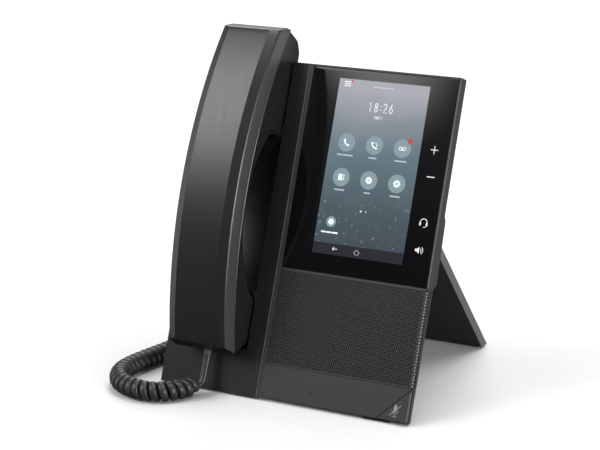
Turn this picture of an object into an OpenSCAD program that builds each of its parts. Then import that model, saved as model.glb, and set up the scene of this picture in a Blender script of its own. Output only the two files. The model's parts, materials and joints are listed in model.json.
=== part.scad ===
// Desk phone: a leaning body with a handset cradle, a touch display, a speaker and a folding
// stand. All the parts of the body are drawn in the frame of its face (X across, Y up the
// face, Z out of it), and leaned() sets that frame on the desk.

/* [Body] */
// Width of the body
body_w = 175; // [170:1:185]
// Height of the body along its leaning face
body_h = 214; // [210:1:220]
// Thickness of the body at its edges
slab_t = 8; // [7.5:0.1:9]
// Thickness of the body at its lower edge
toe_t = 5.8; // [5.5:0.1:6.5]
// Lean of the face back from upright
lean = 19.7; // [15:0.1:22]
// Height of the lower edge above the desk
foot_h = 1; // [0.8:0.1:1.5]
// Wall thickness of the mouldings
wall = 1.6; // [1.4:0.1:2]
// Depth of the rear bulge behind the face
bulge_t = 26; // [25.5:0.1:27]

/* [Display] */
// Width of the lit area
screen_w = 62.3; // [60:0.1:64]
// Height of the lit area
screen_h = 110.7; // [108:0.1:112]
// Left edge of the lit area from the body's centre
screen_x = 5.6; // [4:0.1:8]
// Lower edge of the lit area from the body's lower edge
screen_y = 96; // [94:0.5:98]
// Lower edge of the glass
glass_y = 84; // [82:0.5:86]

/* [Speaker and chin] */
// Height of the chin below the grille
chin_h = 22.5; // [20:0.5:25]
// Centre of the loudspeaker across the body
speaker_x = 38; // [37:0.5:40]
// Centre of the loudspeaker up the face
speaker_y = 64; // [63:0.5:65]
// Diameter of the loudspeaker
speaker_d = 34; // [30:1:34]
// Travel of the mute key
key_travel = 0.6; // [0.4:0.1:0.8]

/* [Handset] */
// Centre line of the handset from the body's centre
handset_x = -52; // [-53:0.5:-51]
// Width of the handset
handset_w = 43.6; // [42:0.2:45]
// Width of its raised front band
band_w = 29; // [26:1:32]
// Radius of the long curve of its shoulders
shoulder_r = 278; // [275:1:281]
// Gap round the handset in its cradle
cradle_gap = 1.4; // [1:0.1:2]
// Depth of the ear pocket
ear_depth = 10.4; // [10.3:0.1:11]
// Depth of the mouth pocket
mouth_depth = 3.9; // [3.8:0.1:4.2]

/* [Stand] */
// Width of the stand
stand_w = 135; // [120:1:135]
// Thickness of the stand
stand_t = 6.4; // [6:0.1:6.6]
// Angle between the body's back and the open stand
stand_angle = 61.5; // [58:0.5:64]

/* [Cord] */
// Outer diameter of the curled part
coil_d = 13; // [12:0.5:14]
// Diameter of the cord itself
wire_d = 3.4; // [3:0.1:3.6]

/* [Hidden] */
$fn = 64;

charcoal = [0.17, 0.17, 0.18];
graphite = [0.24, 0.24, 0.25];
steel = [0.72, 0.73, 0.75];
board_green = [0.05, 0.3, 0.16];
rubber_black = [0.07, 0.07, 0.07];

half_w = body_w / 2;
split_x = -16.6;            // seam between the cradle and the display side
seam = 0.3;                 // gap at seams
glass_t = 1.2;
glass_x = -13.8;
gasket_t = 0.3;
gasket_z = glass_t + gasket_t;    // back face of the glass's foam frame
glass_w = half_w - 0.8 - glass_x;
glass_h = body_h - 1.4 - glass_y;
side_wall = 2;
key_gap = 0.3;              // slit between the mute key and the chin
switch_top = -3.1;          // top of the mute key's switch
tub_wall = 1;               // wall of the shallow mouth pocket
voice_r = 0.2 * speaker_d;  // radius of the loudspeaker's voice coil
board_z = -10.8;            // rear face of the main board
board_t = 1.4;
back_low = -bulge_t;        // back face of the lower bulge
back_high = -16;            // back face of the upper bulge
bulge_left = -84;
bulge_right = 75;
bulge_y = 44;               // lower end of the bulge
taper_y = 84;               // the back is parallel to the face above this line
hinge_y = 124;
// shallow hollow for the fingers, from the mouth pocket up to the ear pocket
well_y = 116;
well_half = 50.2;
well_depth = 9;
well_r = (well_half * well_half + well_depth * well_depth) / (2 * well_depth);

// side outline of the thicker band across the back, level with the stand's hinge
band_outline = [[84, -7.9], [87, -12], [126.5, -10.4], [129.5, -7.9]];
hinge_z = back_low - 4;
hinge_r = 4.6;
pin_r = 1.5;
pin_fit = 0.05;
lug_w = 8;
lug_x = 40;                 // centres of the hinge's two lug pairs
foot_w = 18;
back_reach = 169.67;        // from the face's lower edge back to the stand's foot
front_reach = 15.3;         // from the face's lower edge forward to the handset
face_y = (front_reach - back_reach) / 2;
far = 400;

// jacks: centre, width, height, depth, then the socket's width, height and depth
handset_port = [-76.2, 11, 11.2, 14.8, 7.9, 6.3, 11];
headset_port = [-62.5, 11, 11.2, 14.8, 7.9, 6.3, 11];
power_port = [-49.5, 9.4, 10.8, 14, 0, 0, 9];
lan_port = [-33.5, 15.8, 13.2, 21, 11.9, 8.2, 13];
pc_port = [-15, 15.8, 13.2, 21, 11.9, 8.2, 13];
usb_port_size = [3.5, 14, 7, 14, 12.6, 5.1, 9.5];
ports = [handset_port, headset_port, power_port, lan_port, pc_port, usb_port_size];
port_y = bulge_y + 0.2;

// handset curves, seen from the side as [up the face, out of the face]
arc_y = 124;
arc_z = 40.5 - shoulder_r;
band_r = shoulder_r + 2.7;
crease_r = shoulder_r - 9.6;
grip_y = 119;
grip_r = 74;
grip_z = 27.3 - grip_r;
grip_top = 38.4;
grip_low = -46.9;
shell_t = 2;
ear_y = 166;                // lower end of the ear block
mouth_y = 65;               // upper end of the mouth block
block_r = 8;
top_y = 233.5;
tip_y = 24.7;
crease_gap = 0.05;

screw_spots = [[-80, 16], [-30, 16], [-8, 12], [48, 12], [81, 150], [81, 205]];
bracket_spots = [[-15, 185], [60, 185]];

// the cord's route: points in the desk's frame
coil_z = coil_d / 2 + 0.1;
coil_route = [[-57, -91], [-59, -101], [-65, -109], [-76, -112], [-88, -109], [-99, -103],
    [-109, -93], [-117, -78], [-121, -62], [-120, -46], [-117, -30], [-115, -12], [-113, 8],
    [-109, 28], [-101, 42], [-89, 46], [-79, 38], [-76, 24], [-76, 8], [-76, -6]];
plug_y = 21.5;              // lower end of the plug in the handset, up the face
plug_z = 8;
front_route = [[-52, -77.5, 23.9], [-52, -79.6, 18], [-52, -82, 11], [-52.5, -84.5, 6],
    [-54, -88, 5], [-57, -91, coil_z]];
back_route = [[-76, -6, coil_z], [-76, -14, 4.6], [-76, -24, 2.2], [-76, -34, 1.9],
    [-76, -44, 2.2], [-76, -51, 4.6], [-76.1, -54.8, 9.6], [-76.2, -54.6, 15.5],
    [-76.2, -52.1, 22.1]];

// the desk's frame from the face's frame
function on_desk(p) = [p[0], face_y + p[1] * sin(lean) - p[2] * cos(lean),
    foot_h + p[1] * cos(lean) + p[2] * sin(lean)];

// places its children, drawn in the face's frame, on the desk
module leaned() {
    translate([0, face_y, foot_h]) rotate([90 - lean, 0, 0]) children();
}

// a solid from an outline seen from the side, [up the face, out of the face]
module across(x0, x1, outline) {
    translate([x0, 0, 0]) rotate([90, 0, 90]) linear_extrude(x1 - x0) polygon(outline);
}

module block(x0, x1, y0, y1, z0, z1) {
    translate([x0, y0, z0]) cube([x1 - x0, y1 - y0, z1 - z0]);
}

module peg(x, y, z0, z1, r) {
    translate([x, y, z0]) cylinder(r = r, h = z1 - z0);
}

// a round bar along X, at a place seen from the side
module bar(x0, x1, y, z, r) {
    translate([x0, y, z]) rotate([0, 90, 0]) cylinder(r = r, h = x1 - x0);
}

module rounded(w, h, r) {
    square([w - 2 * r, h], center = true);
    square([w, h - 2 * r], center = true);
    for (sx = [-1, 1], sy = [-1, 1])
        translate([sx * (w / 2 - r), sy * (h / 2 - r)]) circle(r);
}

module rounded_block(x, y, w, h, z0, z1, r) {
    translate([x, y, z0]) linear_extrude(z1 - z0) rounded(w, h, r);
}

// ---- cord sweep ----
function unit(v) = v / norm(v);
function curve_at(p, i, t) =
    let (a = p[max(i - 1, 0)], b = p[i], c = p[i + 1], d = p[min(i + 2, len(p) - 1)])
    0.5 * (2 * b + (c - a) * t + (2 * a - 5 * b + 4 * c - d) * t * t
        + (3 * b - a - 3 * c + d) * t * t * t);
function smooth_route(p, steps) = concat(
    [for (i = [0 : len(p) - 2], s = [0 : steps - 1]) curve_at(p, i, s / steps)],
    [p[len(p) - 1]]);
function heading(p, i) = unit(p[min(i + 1, len(p) - 1)] - p[max(i - 1, 0)]);
function square_to(n, t) = unit(n - (n * t) * t);
function side_vectors(p, i, n) = i == len(p) ? []
    : let (m = square_to(n, heading(p, i))) concat([m], side_vectors(p, i + 1, m));

module swept(p, r, sides, first_side) {
    m = side_vectors(p, 0, first_side);
    rings = [for (i = [0 : len(p) - 1], k = [0 : sides - 1])
        let (b = cross(heading(p, i), m[i]), a = 360 * k / sides)
        p[i] + r * (cos(a) * m[i] + sin(a) * b)];
    last = (len(p) - 1) * sides;
    faces = concat(
        [for (i = [0 : len(p) - 2], k = [0 : sides - 1]) let (q = (k + 1) % sides)
            [i * sides + q, i * sides + k, (i + 1) * sides + k, (i + 1) * sides + q]],
        [[for (k = [0 : sides - 1]) k]],
        [[for (k = [sides - 1 : -1 : 0]) last + k]]);
    polyhedron(rings, faces, convexity = 10);
}

// ---- body ----
function back_z(y) = -toe_t - (slab_t - toe_t) * min(1, y / taper_y);

// side outline of the whole slab, back face moved in by t, cut level at the desk
function slab_outline(t) = [[0, 0], [body_h, 0], [body_h, -slab_t + t],
    [taper_y, -slab_t + t], [(toe_t - t) * tan(lean), -toe_t + t]];

module slab(x0, x1, t) { across(x0, x1, slab_outline(t)); }

// the hollow of a front moulding, inside its walls and behind its face
module hollow(x0, x1, face_t) {
    across(x0, x1, [[6, -face_t], [body_h - side_wall, -face_t],
        [body_h - side_wall, -far], [6, -far]]);
}

module ear_pocket(grow) {
    w = handset_w + 2 * cradle_gap + 2 * grow;
    y0 = ear_y - cradle_gap - grow;
    r = block_r + grow;
    block(handset_x - w / 2, handset_x + w / 2, y0 + r, far, -ear_depth - grow, 1);
    block(handset_x - w / 2 + r, handset_x + w / 2 - r, y0, y0 + r + 1, -ear_depth - grow, 1);
    for (s = [-1, 1]) peg(handset_x + s * (w / 2 - r), y0 + r, -ear_depth - grow, 1, r);
}

module mouth_pocket(grow) {
    w = handset_w + 2 * cradle_gap + 2 * grow;
    y0 = 29 - grow;
    y1 = mouth_y + cradle_gap + grow;
    rounded_block(handset_x, (y0 + y1) / 2, w, y1 - y0, -mouth_depth - grow, 1,
        block_r + grow);
    block(handset_x - w / 2, handset_x + w / 2, y0, y0 + 15, -mouth_depth - grow, 1);
}

module finger_well(grow) {
    w = handset_w + 2 * cradle_gap + 2 * grow;
    bar(handset_x - w / 2, handset_x + w / 2, well_y, well_r - well_depth, well_r + grow);
}

// bosses behind the face for the case screws that lie between x0 and x1
module screw_bosses(x0, x1, face_t) {
    for (p = screw_spots) if (p[0] > x0 && p[0] < x1)
        peg(p[0], p[1], back_z(p[1]) + 2.3, -face_t, 2.8);
}

module screw_pilots() {
    for (p = screw_spots) peg(p[0], p[1], -far, -3.6, 1.45);
}

module cradle_housing() {
    color(charcoal) leaned() difference() {
        union() {
            difference() {
                slab(-half_w, split_x, wall);
                hollow(-half_w + side_wall, split_x - side_wall, side_wall);
            }
            screw_bosses(-half_w, split_x, 1);
            intersection() {
                union() {
                    ear_pocket(wall);
                    mouth_pocket(tub_wall);
                    finger_well(wall);
                }
                block(-half_w, split_x, 1, body_h, -15, -0.5);
            }
        }
        ear_pocket(0);
        mouth_pocket(0);
        finger_well(0);
        screw_pilots();
        block(handset_x - 5.3, handset_x + 5.3, 186.7, 193.3, -20, 0);
    }
}

module display_housing() {
    color(charcoal) leaned() difference() {
        union() {
            difference() {
                slab(split_x + seam, half_w, wall);
                hollow(split_x + seam + side_wall, half_w - side_wall, 3.4);
            }
            screw_bosses(split_x, half_w, 3);
        }
        screw_pilots();
        peg(20, 9, -10, 0, 2.3);
        // ledge for the glass, window for the screen module
        block(glass_x - 0.2, half_w - 0.6, glass_y - 0.2, body_h - 1.2, -gasket_z, 1);
        block(screen_x - 4, screen_x + screen_w + 4, screen_y - 5, body_h - 5, -10, 0);
        // opening for the grille, open at the right side
        block(split_x + 1.2, far, chin_h + 0.3, glass_y - 0.9, -3.5, 1);
        block(split_x + 3, half_w - 3, chin_h + 2, glass_y - 2.5, -10, 0);
        block(half_w - 1.4, far, chin_h + 0.3, glass_y - 0.9, -7, 1);
        // seat of the chin cover and the mute key
        block(split_x + 1.2, far, -1, chin_h, -2.6, 1);
        block(60, half_w - 2, 3.2, chin_h - 2, -10, 0);
        // seat of the light bar in the top edge
        block(68.6, 83.2, body_h - 3, far, -5.6, -1.8);
    }
}

module touch_glass() {
    color([0.02, 0.02, 0.025]) leaned()
        rounded_block(glass_x + glass_w / 2, glass_y + glass_h / 2, glass_w, glass_h,
            -glass_t, 0, 1.5);
}

module glass_gasket() {
    color(rubber_black) leaned() difference() {
        block(glass_x, glass_x + glass_w, glass_y, glass_y + glass_h, -gasket_z, -glass_t);
        block(screen_x - 4, screen_x + screen_w + 4, screen_y - 5, body_h - 5,
            -gasket_z - 1, 0);
    }
}

module lcd_panel() {
    color([0.35, 0.38, 0.45]) leaned() union() {
        block(screen_x - 2.5, screen_x + screen_w + 2.5, screen_y - 4.5, screen_y + screen_h
            + 1.8, -4.1, -gasket_z);
        block(screen_x, screen_x + screen_w, screen_y, screen_y + screen_h,
            -gasket_z - 0.1, -glass_t - 0.05);
    }
}

module display_bracket() {
    color(steel) leaned() difference() {
        block(screen_x - 8, screen_x + screen_w + 6, screen_y - 7, 210, -5.2, -4.4);
        for (y = [120, 152, 184]) rounded_block(36.5, y, 52, 22, -8, -4, 4);
        block(26, 44, screen_y - 8, 101, -8, -4);
    }
}

module display_cable() {
    color([0.75, 0.5, 0.15]) leaned() across(28, 42, [[99, -4.2], [86.6, -4.2],
        [85.6, -5.2], [85.6, -9.4], [93, -9.4], [93, -9.1], [85.9, -9.1], [85.9, -5.4],
        [86.8, -4.5], [99, -4.5]]);
}

module call_light() {
    color([0.75, 0.78, 0.8]) leaned() block(68.8, 83, body_h - 2.8, body_h, -5.4, -2);
}

module speaker_grille() {
    slot_pitch = 6;
    color(graphite) leaned() difference() {
        union() {
            block(split_x + 1.4, half_w, chin_h + 0.5, glass_y - 1.1, -1.6, 0);
            across(half_w - 1.2, half_w, [[chin_h + 0.5, 0], [glass_y - 1.1, 0],
                [glass_y - 1.1, back_z(glass_y - 1.1) + wall + 0.1],
                [chin_h + 0.5, back_z(chin_h) + wall + 0.1]]);
        }
        for (i = [0 : 14], j = [0 : 8])
            translate([speaker_x - 43.6 + i * slot_pitch, 28 + j * slot_pitch, -3])
                cube([2, 2, 6]);
    }
}

module speaker_gasket() {
    color(rubber_black) leaned() difference() {
        peg(speaker_x, speaker_y, -3.2, -1.7, speaker_d / 2);
        peg(speaker_x, speaker_y, -9, 0, speaker_d / 2 - 2.4);
    }
}

module speaker_basket() {
    color(steel) leaned() difference() {
        union() {
            peg(speaker_x, speaker_y, -4.2, -3.2, speaker_d / 2);
            translate([speaker_x, speaker_y, -13])
                cylinder(r1 = 0.3 * speaker_d, r2 = speaker_d / 2 - 1.6, h = 9);
        }
        translate([speaker_x, speaker_y, -12])
            cylinder(r1 = 0.3 * speaker_d - 0.6, r2 = speaker_d / 2 - 2, h = 9);
        peg(speaker_x, speaker_y, -20, 0, voice_r + 0.8);
    }
}

module speaker_cone() {
    color([0.1, 0.1, 0.1]) leaned() difference() {
        translate([speaker_x, speaker_y, -11.4])
            cylinder(r1 = voice_r, r2 = speaker_d / 2 - 3.2, h = 7.4);
        translate([speaker_x, speaker_y, -10.8])
            cylinder(r1 = voice_r - 0.4, r2 = speaker_d / 2 - 3.5, h = 7.4);
    }
}

module speaker_magnet() {
    color([0.3, 0.3, 0.32]) leaned() union() {
        peg(speaker_x, speaker_y, -21, -13, 0.3 * speaker_d);
        peg(speaker_x, speaker_y, -13.1, -11.8, voice_r);
    }
}

// the corner key's outline: a right triangle in the lower right corner
module key_corner(d) {
    linear_extrude(far, center = true) polygon([[half_w - 22.5 - 2.4 * d, -9],
        [half_w - 22.5 - 2.4 * d, d], [half_w + 9, chin_h + 9 + 2.4 * d],
        [half_w + 9, -9]]);
}

module chin_cover() {
    color(charcoal) leaned() difference() {
        block(split_x + 1.4, half_w, 1.5, chin_h - 0.1, -2.5, 0);
        key_corner(0);
        peg(20, 9, -3, 1, 0.5);
    }
}

module mute_key() {
    color(charcoal) leaned() union() {
        intersection() {
            block(split_x + 1.4, half_w, 1.5, chin_h - 0.1, -1.6, 0);
            translate([key_gap, -key_gap, 0]) key_corner(0);
        }
        block(76, 82, 5, 9, switch_top + key_travel + 0.4, -1.5);
    }
}

module key_board() {
    color(board_green) leaned() block(66, 84.5, 3.6, 19, -4.1, -3.5);
}

module mute_switch() {
    color([0.15, 0.15, 0.16]) leaned() union() {
        block(76, 82, 4, 10, -3.5, -3.2);
        peg(79, 7, -3.25, switch_top, 1.6);
    }
}

module desk_microphone() {
    color(steel) leaned() peg(20, 9, -4.2, -2.6, 2.2);
}

module main_board() {
    color(board_green) leaned() translate([0, 0, board_z]) linear_extrude(board_t)
        polygon([[-82, 46.5], [13, 46.5], [13, 84], [72, 84], [72, 200], [-12, 200],
            [-12, 69], [-82, 69]]);
}

module processor_shield() {
    color(steel) leaned() difference() {
        block(8, 40, 120, 152, board_z + board_t, board_z + board_t + 2);
        block(8.3, 39.7, 120.3, 151.7, board_z + board_t - 1, board_z + board_t + 1.7);
    }
}

// a box jack that opens downwards: its socket is centred in its face
module box_jack(p) {
    x = p[0];
    zc = board_z - 0.1 - p[2] / 2;
    difference() {
        block(x - p[1] / 2, x + p[1] / 2, port_y, port_y + p[3], board_z - 0.1 - p[2],
            board_z - 0.1);
        block(x - p[4] / 2, x + p[4] / 2, port_y - 1, port_y + p[6], zc - p[5] / 2,
            zc + p[5] / 2);
        block(x - p[4] / 6, x + p[4] / 6, port_y - 1, port_y + p[6] * 0.6,
            zc - p[5] / 2 - 1.4, zc);
    }
}

module lan_jack() { color([0.1, 0.1, 0.11]) leaned() box_jack(lan_port); }

module pc_jack() { color([0.1, 0.1, 0.11]) leaned() box_jack(pc_port); }

module handset_jack() { color([0.1, 0.1, 0.11]) leaned() box_jack(handset_port); }

module headset_jack() { color([0.1, 0.1, 0.11]) leaned() box_jack(headset_port); }

module usb_port() {
    tongue_z = board_z - 0.1 - usb_port_size[2] / 2;
    color(steel) leaned() union() {
        box_jack(usb_port_size);
        block(usb_port_size[0] - 5, usb_port_size[0] + 5, port_y + 1.5, port_y + 10,
            tongue_z, tongue_z + 1.6);
    }
}

module power_jack() {
    zc = board_z - 0.1 - power_port[2] / 2;
    color([0.1, 0.1, 0.11]) leaned() union() {
        difference() {
            block(power_port[0] - power_port[1] / 2, power_port[0] + power_port[1] / 2,
                port_y, port_y + power_port[3], board_z - 0.1 - power_port[2],
                board_z - 0.1);
            translate([power_port[0], port_y + power_port[6], zc]) rotate([90, 0, 0])
                cylinder(r = 3.2, h = 20);
        }
        translate([power_port[0], port_y + power_port[6] + 1, zc]) rotate([90, 0, 0])
            cylinder(r = 1, h = power_port[6]);
    }
}

// side outline of the bulge, moved in by t
function bulge_outline(t) = [[bulge_y + t, 0], [bulge_y + t, back_low + t],
    [112, back_low + t], [150, back_high + t], [body_h - t, back_high + t],
    [body_h - t, 0]];

module rear_cover() {
    lug_outline = [[hinge_y - 8, back_low + 1], [hinge_y - hinge_r, hinge_z],
        [hinge_y + hinge_r, hinge_z], [hinge_y + 12, back_low + 7]];
    color(charcoal) leaned() difference() {
        union() {
            across(-half_w, half_w, [[(toe_t - wall) * tan(lean), -toe_t + wall],
                [toe_t * tan(lean), -toe_t], [taper_y, -slab_t], [body_h, -slab_t],
                [body_h, -slab_t + wall], [taper_y, -slab_t + wall]]);
            across(bulge_left, bulge_right, [for (q = bulge_outline(0))
                [q[0], min(q[1], -slab_t + wall)]]);
            across(-half_w, half_w, band_outline);
            for (s = [-1, 1], e = [-1, 1]) {
                x = s * lug_x + e * 10 - lug_w / 2;
                across(x, x + lug_w, lug_outline);
                bar(x, x + lug_w, hinge_y, hinge_z, hinge_r);
            }
            for (p = screw_spots) peg(p[0], p[1], back_z(p[1]), back_z(p[1]) + 2.2, 3.6);
        }
        difference() {
            across(bulge_left + wall, bulge_right - wall, bulge_outline(wall));
            for (p = bracket_spots) peg(p[0], p[1], back_high, board_z - 0.3, 3.2);
        }
        block(handset_x - 25, handset_x + 25, body_h - 9, far, -ear_depth - wall - 0.3, 1);
        for (p = ports)
            block(p[0] - p[1] / 2 - 0.2, p[0] + p[1] / 2 + 0.2, bulge_y - 1, bulge_y + 4,
                board_z - 0.3 - p[2], board_z + 0.1);
        for (p = screw_spots) {
            peg(p[0], p[1], -20, 0, 1.6);
            peg(p[0], p[1], -20, back_z(p[1]) + 1.4, 2.9);
        }
        for (p = bracket_spots) peg(p[0], p[1], back_high - 1, back_high + 4.5, 1.5);
        for (s = [-1, 1]) bar(s * lug_x - 20, s * lug_x + 20, hinge_y, hinge_z, pin_r);
        block(-60, -53, 100, 103, back_low - 1, back_low + 3);
    }
}

module case_screws() {
    color(steel) leaned() for (p = screw_spots) {
        peg(p[0], p[1], back_z(p[1]) + 0.1, back_z(p[1]) + 1.4, 2.7);
        peg(p[0], p[1], back_z(p[1]) + 1.3, -3.7, 1.4);
    }
}

module rubber_feet() {
    color(rubber_black) for (s = [-1, 1])
        translate([s * 66 - foot_w / 2, face_y + 2.2, 0]) cube([foot_w, 3.6, foot_h]);
}

module hook_bracket() {
    color(graphite) leaned() difference() {
        block(handset_x - 9, handset_x + 9, 183, 197, -14.2, -13.2);
        block(handset_x - 2.3, handset_x + 2.3, 187.7, 192.3, -15, -10);
    }
}

module hook_switch() {
    color([0.12, 0.12, 0.13]) leaned() block(handset_x + 9.3, handset_x + 16, 184, 196,
        -14.2, -12.1);
}

// a wire spring round the plunger's stem
module hook_spring() {
    turns = 3;
    points = [for (a = [0 : 30 : 360 * turns]) on_desk([handset_x + 3.6 * cos(a),
        190 + 3.6 * sin(a), -13 + 0.9 * a / (360 * turns)])];
    color(steel) swept(points, 0.15, 6, [0, 0, 1]);
}

module hook_plunger() {
    color(graphite) leaned() union() {
        block(handset_x - 5, handset_x + 5, 187, 193, -11.9, -ear_depth);
        block(handset_x - 2, handset_x + 2, 188, 192, -14, -11.8);
    }
}

// ---- stand ----
// places its children, drawn along the closed stand, on the open stand
module opened() {
    leaned() translate([0, hinge_y, hinge_z]) rotate([stand_angle, 0, 0]) children();
}

module stand_plate() {
    length = 150;
    color(graphite) difference() {
        opened() difference() {
            union() {
                block(-stand_w / 2, stand_w / 2, -length, -8, -stand_t / 2, stand_t / 2);
                for (s = [-1, 1]) {
                    block(s * lug_x - 5.7, s * lug_x + 5.7, -9, 0, -3, 3);
                    bar(s * lug_x - 5.7, s * lug_x + 5.7, 0, 0, hinge_r);
                }
            }
            for (s = [-1, 1]) bar(s * lug_x - 20, s * lug_x + 20, 0, 0, pin_r + pin_fit);
            for (x = [-43, 0, 43]) rounded_block(x, -72, 36, 108, -9, -0.2, 4);
        }
        translate([-far, -far, -far]) cube([2 * far, 2 * far, far + foot_h]);
        for (s = [-1, 1]) pad_seat(s);
    }
}

module pad_seat(s) {
    foot_mid = face_y + 165.5;
    translate([s * 54 - 10, foot_mid - 2.6, 0]) cube([20, 5.2, 2.4]);
}

module stand_foot_pads() {
    color(rubber_black) for (s = [-1, 1]) pad_seat(s);
}

module hinge_pins() {
    color(steel) leaned() for (s = [-1, 1])
        bar(s * lug_x - 13.8, s * lug_x + 13.8, hinge_y, hinge_z, pin_r);
}

// ---- handset ----
// the handset's whole side outline, its walls moved in by t
function grip_point(a, t) = [grip_y + (grip_r + t) * sin(a), grip_z + (grip_r + t) * cos(a)];
function handset_outline(t) = concat(
    [[217.6 - t, 60], [230 - t, 21.6], [top_y - 1.2 * t, 10], [227 - 0.8 * t, -5 + 0.8 * t],
        [220 - 0.4 * t, -10 + t], [174 + 0.4 * t, -10 + t], [168 + t, -7 + 0.5 * t],
        [ear_y + t, 0]],
    [for (k = [0 : 12]) grip_point(grip_top + (grip_low - grip_top) * k / 12, t)],
    [[mouth_y - 2 - t, -0.5], [60 - 0.4 * t, -3.5 + t],
        [34.5 + 0.4 * t, -3.5 + t], [31.1 + 0.8 * t, -1 + 0.8 * t], [tip_y + 1.2 * t, 11], [27.5 + t, 22.8],
        [35.8 + t, 60]]);

// a ring about the long curve's centre, from a cross-section [across, radius]
module curved(section) {
    translate([handset_x, arc_y, arc_z]) rotate([0, 90, 0]) rotate([0, 0, 150])
        rotate_extrude(angle = 60, $fn = 180) polygon([for (p = section) [p[1], p[0]]]);
}

module front_section(t) {
    hw = handset_w / 2 - t;
    curved([[-hw, crease_r + crease_gap], [-hw + 1.3, shoulder_r - t],
        [-band_w / 2 + t * 0.4, band_r - t], [band_w / 2 - t * 0.4, band_r - t],
        [hw - 1.3, shoulder_r - t], [hw, crease_r + crease_gap]]);
}

module side_slice(x0, x1, t) { across(handset_x + x0, handset_x + x1, handset_outline(t)); }

module handset_front_shell() {
    hw = handset_w / 2;
    color(charcoal) leaned() difference() {
        intersection() {
            front_section(0);
            side_slice(-hw, hw, 0);
        }
        intersection() {
            front_section(shell_t);
            side_slice(-hw, hw, shell_t);
        }
        intersection() {
            curved([[-hw + shell_t, crease_r - 3], [-hw + shell_t, crease_r + 2],
                [hw - shell_t, crease_r + 2], [hw - shell_t, crease_r - 3]]);
            side_slice(-hw, hw, shell_t);
        }
    }
}

module within_crease(r) { bar(handset_x - 30, handset_x + 30, arc_y, arc_z, r, $fn = 180); }

// the blocks' rounded plan, and the grip above them
module block_plan() {
    h = mouth_y - 10;
    rounded_block(handset_x, ear_y + 45, handset_w, 90, -12, 7, block_r);
    rounded_block(handset_x, mouth_y - h / 2, handset_w, h, -12, 7, block_r);
    block(handset_x - 30, handset_x + 30, 0, 260, 6.9, 60);
}

module handset_rear_shell() {
    hw = handset_w / 2;
    color(charcoal) leaned() difference() {
        intersection() {
            side_slice(-hw, hw, 0);
            within_crease(crease_r, $fn = 180);
            block_plan();
        }
        intersection() {
            side_slice(-hw + shell_t, hw - shell_t, shell_t);
            block(handset_x - 30, handset_x + 30, 0, 260, -4, 60);
        }
        block(handset_x - 15, handset_x + 15, 179, 213, -8, 0);
        for (x = [-6, 0, 6], y = [190, 196, 202]) peg(handset_x + x, y, -12, -7, 0.9);
        block(handset_x - 1, handset_x + 1, 46, 52, -8, -1);
        block(handset_x - 4.6, handset_x + 4.6, 20, 44, plug_z - 4, plug_z + 4);
    }
}

module handset_receiver() {
    color([0.2, 0.2, 0.22]) leaned() union() {
        peg(handset_x, 196, -6.2, 0, 13.5);
        peg(handset_x, 196, -0.1, 3, 9);
    }
}

module receiver_gasket() {
    color(rubber_black) leaned() difference() {
        peg(handset_x, 196, -7.9, -6.2, 13.5);
        peg(handset_x, 196, -9, 0, 10.6);
    }
}

module handset_microphone() {
    color(steel) leaned() peg(handset_x, 49, 0.3, 2.9, 3);
}

module microphone_boot() {
    color(rubber_black) leaned() difference() {
        peg(handset_x, 49, -1.4, 4.6, 5);
        peg(handset_x, 49, 0.3, 9, 3);
        peg(handset_x, 49, -9, 1, 1.2);
    }
}

module handset_weight() {
    color(steel) leaned() block(handset_x - 12, handset_x + 12, 104, 134, 30, 36);
}

module handset_socket() {
    color([0.1, 0.1, 0.11]) leaned() difference() {
        block(handset_x - 4.5, handset_x + 4.5, 27.5, 43.8, plug_z - 3.9, plug_z + 3.9);
        block(handset_x - 3.95, handset_x + 3.95, 20, 40, plug_z - 3.1, plug_z + 3.1);
    }
}

module handset_screws() {
    color(steel) leaned() for (y = [182, 58])
        peg(handset_x, y, y > 100 ? 3.2 : -1, y > 100 ? 14 : 9, 1.5);
}

// ---- curly cord ----
module cord_handset_plug() {
    color([0.6, 0.62, 0.65]) leaned() union() {
        block(handset_x - 3.8, handset_x + 3.8, 25, 39.5, plug_z - 2.95, plug_z + 2.95);
        translate([handset_x, 26, plug_z]) rotate([90, 0, 0])
            cylinder(r1 = 2.8, r2 = 2.2, h = 26 - plug_y);
    }
}

module cord_base_plug() {
    zc = board_z - 0.1 - handset_port[2] / 2;
    x = handset_port[0];
    color([0.6, 0.62, 0.65]) leaned() union() {
        block(x - 3.8, x + 3.8, port_y - 7, port_y + 10.5, zc - 3, zc + 3);
        translate([x, port_y - 6.9, zc]) rotate([90, 0, 0])
            cylinder(r1 = 2.8, r2 = 2.2, h = 9);
    }
}

module cord_tail_front() {
    color([0.16, 0.16, 0.17]) swept(smooth_route(front_route, 2), wire_d / 2, 8, [1, 0, 0]);
}

module cord_tail_back() {
    color([0.16, 0.16, 0.17]) swept(smooth_route(back_route, 2), wire_d / 2, 8, [1, 0, 0]);
}

module cord_coil() {
    route = [for (p = coil_route) [p[0], p[1], coil_z]];
    color([0.16, 0.16, 0.17]) swept(smooth_route(route, 2), coil_d / 2, 12, [0, 0, 1]);
}

cradle_housing();
display_housing();
touch_glass();
glass_gasket();
lcd_panel();
display_bracket();
display_cable();
call_light();
speaker_grille();
speaker_gasket();
speaker_basket();
speaker_cone();
speaker_magnet();
chin_cover();
key_board();
mute_switch();
desk_microphone();
main_board();
processor_shield();
lan_jack();
pc_jack();
handset_jack();
headset_jack();
power_jack();
usb_port();
rear_cover();
case_screws();
rubber_feet();
hook_bracket();
hook_switch();
hook_spring();
hinge_pins();
hook_plunger();
mute_key();
stand_plate();
stand_foot_pads();
handset_front_shell();
handset_rear_shell();
handset_receiver();
receiver_gasket();
handset_microphone();
microphone_boot();
handset_weight();
handset_socket();
handset_screws();
cord_handset_plug();
cord_tail_front();
cord_coil();
cord_tail_back();
cord_base_plug();
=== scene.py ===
import bpy
import bmesh
import json
import math
from mathutils import Matrix, Vector


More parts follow.
